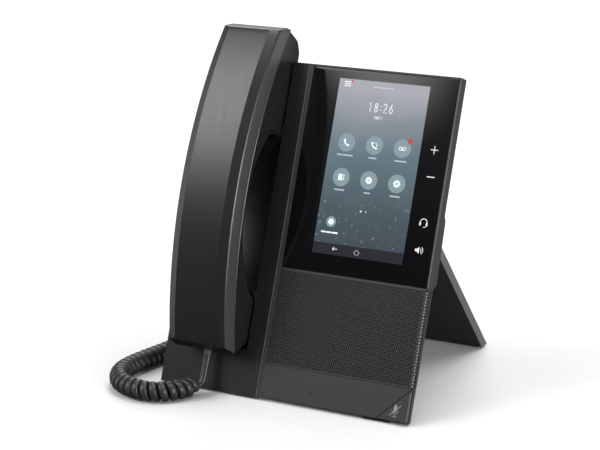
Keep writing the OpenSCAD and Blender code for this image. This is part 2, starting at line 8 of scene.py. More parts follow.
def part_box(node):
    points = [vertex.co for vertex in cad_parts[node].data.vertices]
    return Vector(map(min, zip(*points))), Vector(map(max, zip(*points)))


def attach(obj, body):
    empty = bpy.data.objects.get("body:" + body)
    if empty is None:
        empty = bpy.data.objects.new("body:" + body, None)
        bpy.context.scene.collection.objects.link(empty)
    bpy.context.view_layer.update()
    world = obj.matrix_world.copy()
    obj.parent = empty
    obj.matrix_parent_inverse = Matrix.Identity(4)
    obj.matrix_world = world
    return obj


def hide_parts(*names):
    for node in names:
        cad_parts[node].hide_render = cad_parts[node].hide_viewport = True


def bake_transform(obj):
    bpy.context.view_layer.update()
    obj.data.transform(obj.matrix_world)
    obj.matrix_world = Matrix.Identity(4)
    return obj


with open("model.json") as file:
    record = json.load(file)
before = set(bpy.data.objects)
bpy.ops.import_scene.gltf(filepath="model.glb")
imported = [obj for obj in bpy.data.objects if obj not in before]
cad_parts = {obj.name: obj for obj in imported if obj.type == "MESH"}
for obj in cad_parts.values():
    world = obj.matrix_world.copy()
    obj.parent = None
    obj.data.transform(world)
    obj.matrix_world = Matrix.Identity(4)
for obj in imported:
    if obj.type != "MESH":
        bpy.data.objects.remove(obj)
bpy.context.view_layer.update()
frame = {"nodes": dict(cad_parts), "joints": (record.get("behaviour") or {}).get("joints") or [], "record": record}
nodes = frame["nodes"]
print("frame loaded:", len(nodes), "nodes")

# The face's own axes: across the body, up the leaning face and out of it
liftJoint = next(j for j in frame["joints"] if j["name"] == "handset_lift")
acrossDir = Vector((1, 0, 0))
outDir = Vector(liftJoint["axis"]).normalized()
upDir = outDir.cross(acrossDir)
faceOrigin = Vector((0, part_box("cradle_housing")[0].y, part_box("cradle_housing")[0].z))


def onFace(x, y, z):
    return faceOrigin + acrossDir * x + upDir * y + outDir * z


def faceBox(nodeName):  # a node's lowest and highest corner along the face's axes
    spots = [v.co - faceOrigin for v in nodes[nodeName].data.vertices]
    rows = [(p.dot(acrossDir), p.dot(upDir), p.dot(outDir)) for p in spots]
    return Vector(map(min, zip(*rows))), Vector(map(max, zip(*rows)))


# Shader maths
def mathNode(operation):  # a method that joins two values in a maths node
    def joinPair(self, other):
        return self.finish.node("Math", {"operation": operation}, {0: self, 1: other})
    return joinPair


class Wire:  # a node's output that takes part in sums
    def __init__(self, finish, socket):
        self.finish = finish
        self.socket = socket

    __add__ = __radd__ = mathNode("ADD")
    __sub__ = mathNode("SUBTRACT")
    __mul__ = __rmul__ = mathNode("MULTIPLY")
    __gt__ = mathNode("GREATER_THAN")
    __lt__ = mathNode("LESS_THAN")


class Finish:  # a material, or the world, under construction
    def __init__(self, name, owner=None):
        self.material = owner or bpy.data.materials.new(name)
        self.material.use_nodes = True
        self.tree = self.material.node_tree
        self.tree.nodes.clear()

    def node(self, kind, settings=None, sockets=None, output=0):
        made = self.tree.nodes.new("ShaderNode" + kind)
        for key, value in (settings or {}).items():
            if key == "stops":
                ramp = made.color_ramp.elements
                while len(ramp) < len(value):
                    ramp.new(0.5)
                for stop, (place, colour) in zip(ramp, value):
                    stop.position = place
                    stop.color = colour
            else:
                setattr(made, key, value)
        for key, value in (sockets or {}).items():
            if isinstance(value, Wire):
                self.tree.links.new(value.socket, made.inputs[key])
            else:
                made.inputs[key].default_value = value
        return Wire(self, made.outputs[output] if made.outputs else None)

    def coordinates(self):
        return self.node("TexCoord", output=3)

    def noise(self, size, detail=2.0, stretch=None):
        place = self.coordinates()
        if stretch:
            place = self.node("VectorMath", {"operation": "MULTIPLY"}, {0: place, 1: stretch})
        return self.node("TexNoise", {}, {"Vector": place, "Scale": 1 / size,
                                          "Detail": detail, "Roughness": 0.55})

    def dot(self, direction):
        return self.node("VectorMath", {"operation": "DOT_PRODUCT"},
                         {0: self.coordinates(), 1: tuple(direction)}, output=1)

    def mix(self, factor, first, second):
        return self.node("Mix", {"data_type": "RGBA"}, {0: factor, 6: first, 7: second}, output=2)

    def tones(self, factor, colour, low, high=1.0):
        return self.mix(factor, opaque(colour, low), opaque(colour, high))

    def bump(self, height, strength, depth):
        return self.node("Bump", {}, {"Height": height, "Strength": strength, "Distance": depth})

    def surface(self, sockets):
        self.node("OutputMaterial", {}, {"Surface": self.node("BsdfPrincipled", {}, sockets)})
        return self.material


def opaque(colour, share=1.0):
    return (*[c * share for c in colour], 1)


# Finishes
plasticKeys = ("colour", "rough", "grain", "depth", "mottle", "shine")
plasticRows = {
    "casePlastic": ((0.029, 0.029, 0.030), 0.42, 0.00042, 0.00007, 0.16),
    "handsetPlastic": ((0.012, 0.012, 0.0125), 0.31, 0.00034, 0.00005, 0.14, 0.7),
    # the next row is a lighter copy of the handset plastic: painted light on the handset's side facets and a
    # painted highlight on the rail under the glass
    "handsetSide": ((0.045, 0.045, 0.046), 0.42, 0.00034, 0.00005, 0.14),
    "cradlePlastic": ((0.010, 0.010, 0.0105), 0.34, 0.0004, 0.00003, 0.16),
    # the next row is a near-black copy of the plastic: painted shade in the pockets under the handset and inside
    # the grille holes
    "wellPlastic": ((0.005, 0.005, 0.0052), 0.3, 0.0005, 0.00002, 0.2),
    "standPlastic": ((0.030, 0.030, 0.031), 0.46, 0.0005, 0.00008, 0.18),
    # the next row is a lighter copy of the stand plastic, painted light on the stand's side faces
    "standEdge": ((0.10, 0.10, 0.102), 0.4, 0.0005, 0.00005, 0.12),
    # the next row is a light grey plastic for strips that paint highlights along rounded edges
    "brightEdge": ((0.22, 0.22, 0.225), 0.36, 0.0006, 0.00002, 0.15),
    "grillePlastic": ((0.034, 0.033, 0.034), 0.42, 0.0003, 0.00004, 0.15),
    "jackPlastic": ((0.02, 0.02, 0.022), 0.34, 0.0006, 0.00003, 0.15),
    "footRubber": ((0.014, 0.014, 0.014), 0.75, 0.0005, 0.0001, 0.3),
    "speakerPaper": ((0.03, 0.028, 0.026), 0.85, 0.0009, 0.0001, 0.35),
}
plasticValues = {name: dict(zip(plasticKeys, row)) for name, row in plasticRows.items()}


def plastic(name):  # moulded, with a fine spark-eroded grain and slow changes of tone and sheen
    values = plasticValues[name]
    finish = Finish(name)
    grain = finish.noise(values["grain"], 3)
    tone = finish.noise(0.035, 2)
    rub = finish.noise(0.004, 4, (1.0, 0.35, 0.2))
    mottle = values["mottle"]
    colour = finish.tones(tone * 0.7 + grain * 0.3, values["colour"], 1 - mottle, 1 + mottle)
    sheen = values["rough"] - 0.08 + grain * 0.08 + rub * 0.08
    return finish.surface({
        "Base Color": colour, "Roughness": sheen, "Specular IOR Level": values.get("shine", 0.5),
        "Normal": finish.bump(grain, 0.5, values["depth"])})


glassValues = {"colour": (0.0035, 0.0035, 0.0042), "rough": 0.045, "shine": 0.32}


def blackGlass():  # cover glass printed black behind, with faint wiping marks
    finish = Finish("blackGlass")
    smear = finish.noise(0.02, 4, (1.0, 0.5, 0.5))
    speck = finish.noise(0.0012, 2)
    return finish.surface({
        "Base Color": finish.tones(speck, glassValues["colour"], 1.0, 1.6),
        "Roughness": glassValues["rough"] + smear * smear * 0.12,
        "Specular IOR Level": glassValues["shine"]})


screenValues = {"top": (0.40, 0.40, 0.45), "upper": (0.235, 0.27, 0.31),
                "middle": (0.125, 0.185, 0.21), "lower": (0.075, 0.105, 0.125),
                "bottom": (0.05, 0.066, 0.082), "bar": (0.022, 0.022, 0.028), "glow": 1.0}


def screenPicture(low, high):  # a misty backdrop from lilac grey down to slate
    finish = Finish("screenPicture")
    base = (faceOrigin + upDir * low.y).dot(upDir)
    share = (finish.dot(upDir) - base) * (1 / (high.y - low.y))
    cloud = finish.noise(0.03, 3)
    drops = finish.noise(0.0022, 1)
    height = share + (cloud - 0.5) * 0.16
    stops = [(place, opaque(screenValues[name])) for name, place in (
        ("bottom", 0.0), ("lower", 0.28), ("middle", 0.58), ("upper", 0.78), ("top", 0.95))]
    ramp = finish.node("ValToRGB", {"stops": stops}, {"Fac": height})
    bokeh = (drops > 0.69) * (height < 0.33) * 0.35
    scene = finish.mix(bokeh, ramp, opaque((0.35, 0.40, 0.42)))
    picture = finish.mix(share < 0.063, scene, opaque(screenValues["bar"]))
    return finish.surface({
        "Base Color": (0.004, 0.004, 0.005, 1), "Roughness": 0.05 + cloud * 0.03,
        "Emission Color": picture, "Emission Strength": screenValues["glow"],
        "Specular IOR Level": glassValues["shine"]})


# on the prints the emission is painted light; on the screen it is the display's own light
def lit(name, colour, strength):  # a printed or lit mark
    finish = Finish(name)
    uneven = finish.noise(0.0015, 2)
    return finish.surface({"Base Color": finish.tones(uneven, colour, 0.3, 0.4),
                           "Roughness": 0.25 + uneven * 0.1,
                           "Emission Color": finish.tones(uneven, colour, 0.88),
                           "Emission Strength": strength})


# the two prints also glow: painted light, since print gives off none
litValues = {"whitePrint": ((0.80, 0.80, 0.80), 0.75), "greyPrint": ((0.42, 0.43, 0.46), 0.4),
             "screenWhite": ((0.88, 0.92, 0.95), 0.85), "screenTint": ((0.17, 0.24, 0.265), 1.0),
             "screenFaint": ((0.36, 0.43, 0.46), 1.0), "badgeRed": ((0.40, 0.03, 0.045), 1.0)}
metalValues = {
    "platedSteel": {"colour": (0.62, 0.62, 0.60), "rough": 0.3, "streak": (1.0, 12.0, 12.0)},
    "magnetIron": {"colour": (0.20, 0.20, 0.21), "rough": 0.5, "streak": (1.0, 1.0, 1.0)},
}


def metal(name):  # rolled or plated, with fine streaks
    values = metalValues[name]
    finish = Finish(name)
    streaks = finish.noise(0.002, 4, values["streak"])
    stain = finish.noise(0.012, 3)
    return finish.surface({
        "Base Color": finish.tones(stain, values["colour"], 0.75), "Metallic": 0.9 + stain * 0.1,
        "Roughness": values["rough"] - 0.06 + streaks * 0.14,
        "Normal": finish.bump(streaks, 0.25, 0.00004)})


boardValues = {"mask": (0.006, 0.055, 0.028), "trace": (0.012, 0.11, 0.055),
               "pad": (0.62, 0.60, 0.50)}


def circuitBoard():  # green mask over copper tracks, with tinned pads
    finish = Finish("circuitBoard")
    tracks = finish.node("TexBrick", {"offset": 0.37}, {
        "Vector": finish.coordinates(), "Scale": 260.0, "Mortar Size": 0.09,
        "Color1": opaque(boardValues["mask"]), "Color2": opaque(boardValues["mask"], 1.5),
        "Mortar": opaque(boardValues["trace"])})
    cells = finish.node("TexVoronoi", {}, {"Vector": finish.coordinates(), "Scale": 420.0})
    pads = cells < 0.16
    return finish.surface({
        "Base Color": finish.mix(pads, tracks, opaque(boardValues["pad"])),
        "Metallic": pads * 0.8, "Roughness": 0.34 + finish.noise(0.003) * 0.12,
        "Normal": finish.bump(pads, 0.4, 0.00005)})


def clearPlastic(name, colour, rough, passing):  # moulded clear or smoky resin
    finish = Finish(name)
    cloud = finish.noise(0.003, 3)
    return finish.surface({
        "Base Color": finish.tones(cloud, colour, 0.85),
        "Roughness": rough + cloud * 0.08, "Transmission Weight": passing, "IOR": 1.49,
        "Normal": finish.bump(cloud, 0.2, 0.00005)})


def flexFilm():  # amber film over copper tracks
    finish = Finish("flexFilm")
    tracks = finish.node("TexWave", {}, {"Vector": finish.coordinates(), "Scale": 420.0})
    return finish.surface({
        "Base Color": finish.mix(tracks, (0.30, 0.12, 0.02, 1), (0.50, 0.26, 0.06, 1)),
        "Roughness": 0.28 + tracks * 0.1, "Normal": finish.bump(tracks, 0.3, 0.00003)})


jacketValues = {"colour": (0.027, 0.027, 0.028), "rough": 0.36}


def cordJacket():  # satin vinyl with slight drawing lines
    finish = Finish("cordJacket")
    fine = finish.noise(0.0006, 3)
    slow = finish.noise(0.011, 2)
    return finish.surface({
        "Base Color": finish.tones(slow, jacketValues["colour"], 0.8, 1.2),
        "Roughness": jacketValues["rough"] - 0.05 + fine * 0.12,
        "Normal": finish.bump(fine, 0.35, 0.00004)})


print("finishes")
finishes = {name: plastic(name) for name in plasticValues}
finishes.update({name: metal(name) for name in metalValues})
for make in (cordJacket, circuitBoard, flexFilm, blackGlass):
    finishes[make.__name__] = make()
finishes.update({name: lit(name, *values) for name, values in litValues.items()})
finishes["smokyBar"] = clearPlastic("smokyBar", (0.32, 0.34, 0.36), 0.3, 0.35)
finishes["plugResin"] = clearPlastic("plugResin", (0.14, 0.145, 0.15), 0.2, 0.4)


# Mesh helpers
def placed(name, data):  # a new object in the scene
    made = bpy.data.objects.new(name, data)
    bpy.context.scene.collection.objects.link(made)
    return made


def solidMesh(name, points, faces, merged=False):  # a mesh with its faces turned outwards
    mesh = bpy.data.meshes.new(name)
    mesh.from_pydata([tuple(p) for p in points], [], faces)
    work = bmesh.new()
    work.from_mesh(mesh)
    if merged:
        bmesh.ops.remove_doubles(work, verts=work.verts, dist=0.000004)
        bmesh.ops.dissolve_degenerate(work, edges=work.edges, dist=0.000001)
    bmesh.ops.recalc_face_normals(work, faces=work.faces)
    work.to_mesh(mesh)
    work.free()
    return mesh


def addPiece(name, points, faces, finish, body, slotName, replaced=(), sharp=35.0):
    # a new piece from corner points in the row frame, smooth except along edges over sharp degrees
    mesh = solidMesh(name, points, faces, True)
    mesh.shade_smooth()
    mesh.set_sharp_from_angle(angle=math.radians(sharp))
    piece = placed(name, mesh)
    mesh.materials.append(finishes[finish])
    if body:
        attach(piece, body)
    if replaced:
        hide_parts(*replaced)
    return piece


def tintFaces(piece, finish, chosen):  # gives the chosen faces a second finish
    piece.data.materials.append(finishes[finish])
    for face in piece.data.polygons:
        face.material_index = int(chosen(face))


def arc(cx, cy, radius, start, stop, steps):  # points round a centre, in degrees
    turn = [math.radians(start + (stop - start) * i / steps) for i in range(steps + 1)]
    return [(cx + radius * math.cos(a), cy + radius * math.sin(a)) for a in turn]


def eased(points, radii, steps=5, closed=False):
    # a line of 2-D points with its corners rounded to the given radii
    count = len(points)
    result = []
    for i, here in enumerate(points):
        radius = radii[i] if isinstance(radii, (list, tuple)) else radii
        at = Vector(here)
        before, after = Vector(points[i - 1]) - at, Vector(points[(i + 1) % count]) - at
        middle = before.normalized() + after.normalized()
        inner = closed or 0 < i < count - 1
        if not inner or radius <= 0 or middle.length < 1e-6:
            result.append(tuple(here))
            continue
        half = before.angle(after) / 2
        reach = min(radius / math.tan(half), 0.49 * before.length, 0.49 * after.length)
        centre = at + middle.normalized() * reach / math.cos(half)
        a, b = at + before.normalized() * reach - centre, at + after.normalized() * reach - centre
        whole = a.angle_signed(b)
        for k in range(steps + 1):
            turn = -whole * k / steps
            result.append((centre.x + a.x * math.cos(turn) - a.y * math.sin(turn),
                           centre.y + a.x * math.sin(turn) + a.y * math.cos(turn)))
    return result


def tubeFaces(total, sides):  # a closed tube's faces, from rings of that many points
    faces = [(i + k, i + (k + 1) % sides, i + sides + (k + 1) % sides, i + sides + k)
             for i in range(0, total - sides, sides) for k in range(sides)]
    return faces + [tuple(range(sides)), tuple(range(total - sides, total))]


def layers(outline, levels):
    # a closed solid from one outline at several heights; levels are (height, inset) pairs
    count = len(outline)
    area = sum(outline[i - 1][0] * outline[i][1] - outline[i][0] * outline[i - 1][1]
               for i in range(count))
    side = 1 if area > 0 else -1
    points = []
    for height, inset in levels:
        for i, here in enumerate(outline):
            before = (Vector(here) - Vector(outline[i - 1])).normalized()
            after = (Vector(outline[(i + 1) % count]) - Vector(here)).normalized()
            along = (before + after).normalized()
            stretch = inset / max(0.4, along.dot(after))
            points.append(onFace(here[0] - along.y * stretch * side,
                                 here[1] + along.x * stretch * side, height))
    return points, tubeFaces(len(points), count)


def joined(solids):  # several (points, faces) solids as one
    points, faces = [], []
    for more, sides in solids:
        start = len(points)
        points.extend(more)
        faces.extend(tuple(i + start for i in side) for side in sides)
    return points, faces


def box(x0, x1, y0, y1, radius):  # a rectangle's outline with round corners
    return eased([(x0, y0), (x1, y0), (x1, y1), (x0, y1)], radius, 5, True)


def band(line, width, low, high, closed=False):  # a flat stroke of that width along a line
    count = len(line)
    left, right = [], []
    for i, here in enumerate(line):
        a = line[i - 1] if i or closed else here
        b = line[(i + 1) % count] if i < count - 1 or closed else here
        along = (Vector(b) - Vector(here)).normalized() + (Vector(here) - Vector(a)).normalized()
        along = along.normalized() * width / 2
        left.append((here[0] - along.y, here[1] + along.x))
        right.append((here[0] + along.y, here[1] - along.x))
    points, faces = [], []
    for height in (low, high):
        for pair in (left, right):
            points.extend(onFace(p[0], p[1], height) for p in pair)
    spans = count if closed else count - 1
    for i in range(spans):
        j = (i + 1) % count
        lowLeft, lowRight, topLeft, topRight = [k * count for k in range(4)]
        faces += [(topLeft + i, topLeft + j, topRight + j, topRight + i),
                  (lowLeft + i, lowRight + i, lowRight + j, lowLeft + j),
                  (lowLeft + i, lowLeft + j, topLeft + j, topLeft + i),
                  (lowRight + i, topRight + i, topRight + j, lowRight + j)]
    if not closed:
        for i in (0, count - 1):
            faces.append((i, count + i, 3 * count + i, 2 * count + i))
    return points, faces


def blob(cx, cy, radius, low, high, sides=20):
    return layers(arc(cx, cy, radius, 0, 360 - 360 / sides, sides - 1), [(low, 0), (high, 0)])


# Camera
cameraValues = {"place": (0.5580, -1.0751, 0.4164), "right": (0.878, 0.478, 0),
                "up": (-0.1217, 0.2235, 0.967), "lens": 116.46, "sensor": 36}


def makeCamera(values):
    data = bpy.data.cameras.new("camera")
    data.lens = values["lens"]
    data.sensor_width = values["sensor"]
    camera = placed("camera", data)
    right = Vector(values["right"]).normalized()
    back = right.cross(Vector(values["up"])).normalized()
    turn = Matrix((right, back.cross(right), back)).transposed().to_4x4()
    camera.matrix_world = Matrix.Translation(values["place"]) @ turn
    bpy.context.scene.camera = camera


makeCamera(cameraValues)


# Cord
cordValues = {
    "front": [(-0.052, -0.0775, 0.0239), (-0.052, -0.0798, 0.0185), (-0.0518, -0.0825, 0.0125),
              (-0.0518, -0.0845, 0.0085)],
    "coil": [(-0.0535, -0.0868), (-0.0565, -0.0935), (-0.0605, -0.1015), (-0.067, -0.1085),
             (-0.077, -0.112), (-0.088, -0.1105), (-0.0985, -0.1055), (-0.1065, -0.0965),
             (-0.111, -0.085), (-0.1115, -0.071), (-0.1095, -0.056), (-0.107, -0.039),
             (-0.1055, -0.020), (-0.105, 0.0), (-0.1045, 0.018), (-0.1025, 0.034),
             (-0.097, 0.0445), (-0.087, 0.0445), (-0.079, 0.036), (-0.076, 0.022),
             (-0.076, 0.008), (-0.076, -0.006)],
    "back": [(-0.076, -0.014, 0.0046), (-0.076, -0.024, 0.0022), (-0.076, -0.034, 0.0019),
             (-0.076, -0.044, 0.0022), (-0.076, -0.051, 0.0046), (-0.0761, -0.0548, 0.0096),
             (-0.0762, -0.0546, 0.0155), (-0.0762, -0.0521, 0.0221)],
    "coilHeight": 0.0066, "coilRadius": 0.0049, "pitch": 0.0052, "rampLength": 0.006,
    "wireWidth": 0.0047, "wireThick": 0.0031, "squareness": 0.72, "turnSteps": 18,
    "length": 1.8,
}


def smoothLine(points, steps):  # Catmull-Rom through the points
    line = []
    for i in range(len(points) - 1):
        a, b = points[max(i - 1, 0)], points[i]
        c, d = points[i + 1], points[min(i + 2, len(points) - 1)]
        for k in range(steps):
            t = k / steps
            line.append(0.5 * (2 * b + (c - a) * t + (2 * a - 5 * b + 4 * c - d) * t ** 2
                               + (3 * b - a - 3 * c + d) * t ** 3))
    return line + [points[-1]]


def lineLength(line):
    return sum((b - a).length for a, b in zip(line, line[1:]))


def evenLine(line, step):  # the same line with its points a step apart, and their distances
    travelled = [0.0]
    for a, b in zip(line, line[1:]):
        travelled.append(travelled[-1] + (b - a).length)
    count = round(travelled[-1] / step)
    result, k = [], 0
    for i in range(count + 1):
        want = travelled[-1] * i / count
        while k < len(line) - 2 and travelled[k + 1] < want:
            k += 1
        result.append(line[k].lerp(line[k + 1],
                                   (want - travelled[k]) / (travelled[k + 1] - travelled[k])))
    return result, travelled[-1] / count


def cordMesh(values):
    height = values["coilHeight"]
    coil = [Vector((x, y, height)) for x, y in values["coil"]]
    front = [Vector(p) for p in values["front"]]
    back = [Vector(p) for p in values["back"]]
    steps = 40
    whole = smoothLine(front + coil + back, steps)
    tailEnd, bendEnd = len(front) * steps, (len(front) + len(coil) - 1) * steps
    coilStart = lineLength(whole[:tailEnd + 1])
    coilEnd = coilStart + lineLength(whole[tailEnd:bendEnd])
    axis, step = evenLine(whole, values["pitch"] / values["turnSteps"])
    side = Vector((1, 0, 0))
    phase, rings, points = math.pi / 2, [], []
    sides, straightStep = 12, 5
    for i, here in enumerate(axis):
        along = (axis[min(i + 1, len(axis) - 1)] - axis[max(i - 1, 0)]).normalized()
        side = (side - along * side.dot(along)).normalized()
        at = i * step
        inside = min(at - coilStart, coilEnd - at)
        ramp = min(1.0, max(0.0, inside / values["rampLength"]))
        ramp = ramp * ramp * (3 - 2 * ramp)
        if inside > 0:
            phase += 2 * math.pi * step / values["pitch"]
        spoke = side * math.cos(phase) + along.cross(side) * math.sin(phase)
        if ramp > 0 or i % straightStep == 0 or i == len(axis) - 1:
            rings.append((here + spoke * values["coilRadius"] * ramp, spoke))
    path = [spot for spot, _ in rings]
    for i, (_, spoke) in enumerate(rings):
        along = (path[min(i + 1, len(path) - 1)] - path[max(i - 1, 0)]).normalized()
        out = (spoke - along * spoke.dot(along)).normalized()
        flat = along.cross(out)
        for k in range(sides):
            a = 2 * math.pi * k / sides
            u, v = (math.copysign(abs(t) ** values["squareness"], t)
                    for t in (math.cos(a), math.sin(a)))
            points.append(path[i] + out * u * values["wireThick"] / 2
                          + flat * v * values["wireWidth"] / 2)
    return points, tubeFaces(len(points), sides), path


cordPoints, cordFaces, cordPath = cordMesh(cordValues)
print("cord wire", round(lineLength(cordPath), 3), "m")
curlyCord = addPiece("curlyCord", cordPoints, cordFaces, "cordJacket", None, "cord_jacket",
                     ("cord_tail_front", "cord_coil", "cord_tail_back"), 60)
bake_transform(curlyCord)


# Handset
handsetLow, handsetHigh = faceBox("handset_front_shell")
handsetValues = {
    "middle": (handsetLow.x + handsetHigh.x) / 2, "halfWidth": (handsetHigh.x - handsetLow.x) / 2,
    "arcY": 0.124, "arcZ": -0.2375, "crease": 0.2684, "shoulder": 0.278, "bandRadius": 0.2807,
    "halfBand": 0.0145, "shoulderIn": 0.0013, "groove": 0.0003, "endRound": 0.0008,
    "edgeRound": 0.0030, "joint": 0.00005,
    "topEnd": [(0.2176, 0.060), (0.230, 0.0216), (0.2337, 0.010), (0.229, -0.005)],
    "lowEnd": [(0.0358, 0.060), (0.0275, 0.0228), (0.0247, 0.011), (0.0311, -0.001)],
    "grip": (0.119, -0.0467, 0.074, 38.4, -46.9),
}


def radiusOf(spot):  # how far a spot lies from the long curve's centre
    return math.hypot(spot[0] - handsetValues["arcY"], spot[1] - handsetValues["arcZ"])


def angleOf(spot):
    return math.atan2(spot[0] - handsetValues["arcY"], spot[1] - handsetValues["arcZ"])


def curveSpot(radius, angle):
    return (handsetValues["arcY"] + radius * math.sin(angle),
            handsetValues["arcZ"] + radius * math.cos(angle))


def endSpot(line, radius):  # where an end line crosses that radius of the long curve
    for a, b in zip(line, line[1:]):
        if radiusOf(a) >= radius >= radiusOf(b):
            low, high = 0.0, 1.0
            for _ in range(30):
                t = (low + high) / 2
                spot = (a[0] + (b[0] - a[0]) * t, a[1] + (b[1] - a[1]) * t)
                low, high = (t, high) if radiusOf(spot) > radius else (low, t)
            return spot
    return line[0]


def angleAt(line, radius):
    return angleOf(endSpot(line, radius))


def gridFaces(count, wide):  # faces between rows of points, with a flat one along their ends
    faces = []
    for i in range(count - 1):
        faces += [(a, a + 1, a + wide + 1, a + wide) for a in range(i * wide, (i + 1) * wide - 1)]
        faces.append((i * wide, (i + 1) * wide, (i + 2) * wide - 1, (i + 1) * wide - 1))
    return faces


def frontShell():
    values = handsetValues
    half, groove = values["halfWidth"], values["groove"]
    crease = values["crease"] + values["joint"]
    right = [(values["halfBand"], values["bandRadius"]),
             (half - values["shoulderIn"], values["shoulder"]),
             (half, crease + groove), (half - groove, crease)]
    left = [(-x, r) for x, r in reversed(right)]
    section = eased(left + right, [0, 0.0001, 0.0022, 0.0008, 0.0008, 0.0022, 0.0001, 0], 6)
    normals = []
    for i in range(len(section)):
        a, b = section[max(i - 1, 0)], section[min(i + 1, len(section) - 1)]
        along = Vector((b[0] - a[0], b[1] - a[1])).normalized()
        normals.append((-along.y, along.x))
    turn = values["endRound"]
    wallSteps, bodySteps = 4, 60
    bends = [(turn * (1 - math.cos(a)), turn * (1 - math.sin(a)))
             for a in [math.radians(90 * k / 5) for k in range(6)]]

    def drawnIn(drop):  # the section made smaller by that much
        return [(x - nx * drop, max(radius - nr * drop, crease))
                for (x, radius), (nx, nr) in zip(section, normals)]

    def ringAt(share, drop, topDistance, lowDistance):
        ring = []
        for x, radius in drawnIn(drop):
            first = angleAt(values["topEnd"], radius) - topDistance / radius
            last = angleAt(values["lowEnd"], radius) + lowDistance / radius
            ring.append((x, radius, first + (last - first) * share))
        return ring

    def wallAt(line, share):
        ring = [(x, radius + (crease - radius) * share) for x, radius in drawnIn(turn)]
        return [(x, radius, angleAt(line, radius)) for x, radius in ring]

    rows = [wallAt(values["topEnd"], 1 - k / wallSteps) for k in range(wallSteps)]
    rows += [ringAt(0, inset, distance, 0) for inset, distance in reversed(bends)]
    rows += [ringAt(k / bodySteps, 0, turn, turn) for k in range(1, bodySteps)]
    rows += [ringAt(1, inset, 0, distance) for inset, distance in bends]
    rows += [wallAt(values["lowEnd"], (k + 1) / wallSteps) for k in range(wallSteps)]
    points = [onFace(values["middle"] + x, *curveSpot(radius, angle))
              for row in rows for x, radius, angle in row]
    return points, gridFaces(len(rows), len(section))


def rearProfile():  # the underside seen from the side, from the top crease to the lower one
    values = handsetValues
    gripY, gripZ, gripRadius, start, stop = values["grip"]
    steps = 26
    turns = [math.radians(start + (stop - start) * k / steps) for k in range(steps + 1)]
    grip = [(gripY + gripRadius * math.sin(a), gripZ + gripRadius * math.cos(a)) for a in turns]
    top = endSpot(values["topEnd"], values["crease"])
    low = endSpot(values["lowEnd"], values["crease"])
    ear = [top, (0.229, -0.005), (0.2215, -0.010), (0.174, -0.010), (0.168, -0.007), (0.166, 0.0)]
    mouth = [(0.063, -0.0005), (0.060, -0.0035), (0.0345, -0.0035), (0.0311, -0.001),
             (0.0247, 0.011), low]
    radii = [0, 0.005, 0.004, 0.004, 0.004, 0.003] + [0.002] + [0] * (steps - 1) + [0.002] + [
        0.002, 0.003, 0.004, 0.004, 0, 0]
    return eased(ear + grip + mouth, radii, 4)


def rearShell():
    values = handsetValues
    half, turn, groove = values["halfWidth"], values["edgeRound"], values["groove"]
    line, _ = evenLine([Vector((*p, 0)) for p in rearProfile()], 0.0016)
    count = len(line)
    creaseRadius = values["crease"] - values["joint"]
    limit = creaseRadius - groove
    rows = []
    firstAngle = angleOf(line[0] + Vector((-1, 0, 0)) * turn)
    lastAngle = angleOf(line[-1] + Vector((1, 0, 0)) * turn)
    spanY = line[0].x - line[-1].x

    def held(spot):  # keeps a point under the crease
        far = radiusOf(spot)
        if far <= limit:
            return (spot.x, spot.y)
        grow = limit / far
        return (values["arcY"] + (spot.x - values["arcY"]) * grow,
                values["arcZ"] + (spot.y - values["arcZ"]) * grow)

    for i, here in enumerate(line):
        before, after = line[max(i - 2, 0)], line[min(i + 2, count - 1)]
        along = (after - before).normalized()
        inward = Vector((along.y, -along.x, 0))
        share = 0.5 * i / (count - 1) + 0.5 * (line[0].x - here.x) / spanY
        share = min(1.0, max(0.0, share))
        angle = firstAngle + (lastAngle - firstAngle) * share
        column = [(half - groove, *curveSpot(creaseRadius, angle)),
                  (half, *curveSpot(limit, angle))]
        for k in range(6):
            a = math.radians(90 * k / 5)
            spot = held(here + inward * turn * (1 - math.sin(a)))
            column.append((half - turn * (1 - math.cos(a)), *spot))
        inner = half - turn
        middle = [(inner * (1 - 2 * k / 6), *held(here)) for k in range(1, 6)]
        mirrored = [(-x, y, z) for x, y, z in reversed(column)]
        rows.append(column + middle + mirrored)
    wide = len(rows[0])
    points = [onFace(values["middle"] + x, y, z) for row in rows for x, y, z in row]
    ends = [tuple(range(wide)), tuple(range((count - 1) * wide, count * wide))]
    return points, gridFaces(count, wide) + ends


def modify(piece, name, kind, settings):
    step = piece.modifiers.new(name, kind)
    for key, value in settings.items():
        setattr(step, key, value)


def cut(piece, solids):  # takes closed solids out of a piece
    cutter = placed("cutter", solidMesh("cutter", *joined(solids)))
    modify(piece, "cut", "BOOLEAN", {"operation": "DIFFERENCE", "solver": "EXACT",
                                     "object": cutter})
    graph = bpy.context.evaluated_depsgraph_get()
    result = bpy.data.meshes.new_from_object(piece.evaluated_get(graph))
    piece.modifiers.clear()
    old = piece.data
    piece.data = result
    bpy.data.meshes.remove(old)
    bpy.data.objects.remove(cutter)
    result.shade_smooth()
    result.set_sharp_from_angle(angle=math.radians(35))


print("handset")
handsetFront = addPiece("handsetFront", *frontShell(), "handsetPlastic", "handset",
                        "handset_plastic", ("handset_front_shell",), 28)
# the side facets take the lighter copy: painted light from the right
tintFaces(handsetFront, "handsetSide", lambda face: abs(face.normal.x) > 0.9)
handsetRear = addPiece("handsetRear", *rearShell(), "handsetPlastic", "handset",
                       "handset_plastic", ("handset_rear_shell",), 40)
holeValues = {"earPitch": 0.0045, "earY": 0.196, "earRadius": 0.0009,
              "earDepths": (-0.012, -0.0085),
              "slot": (0.001, 0.046, 0.052, 0.0009), "slotDepths": (-0.006, -0.002),
              "plug": (0.0044, 0.019, 0.040, 0.0004), "plugDepths": (0.0046, 0.0114)}


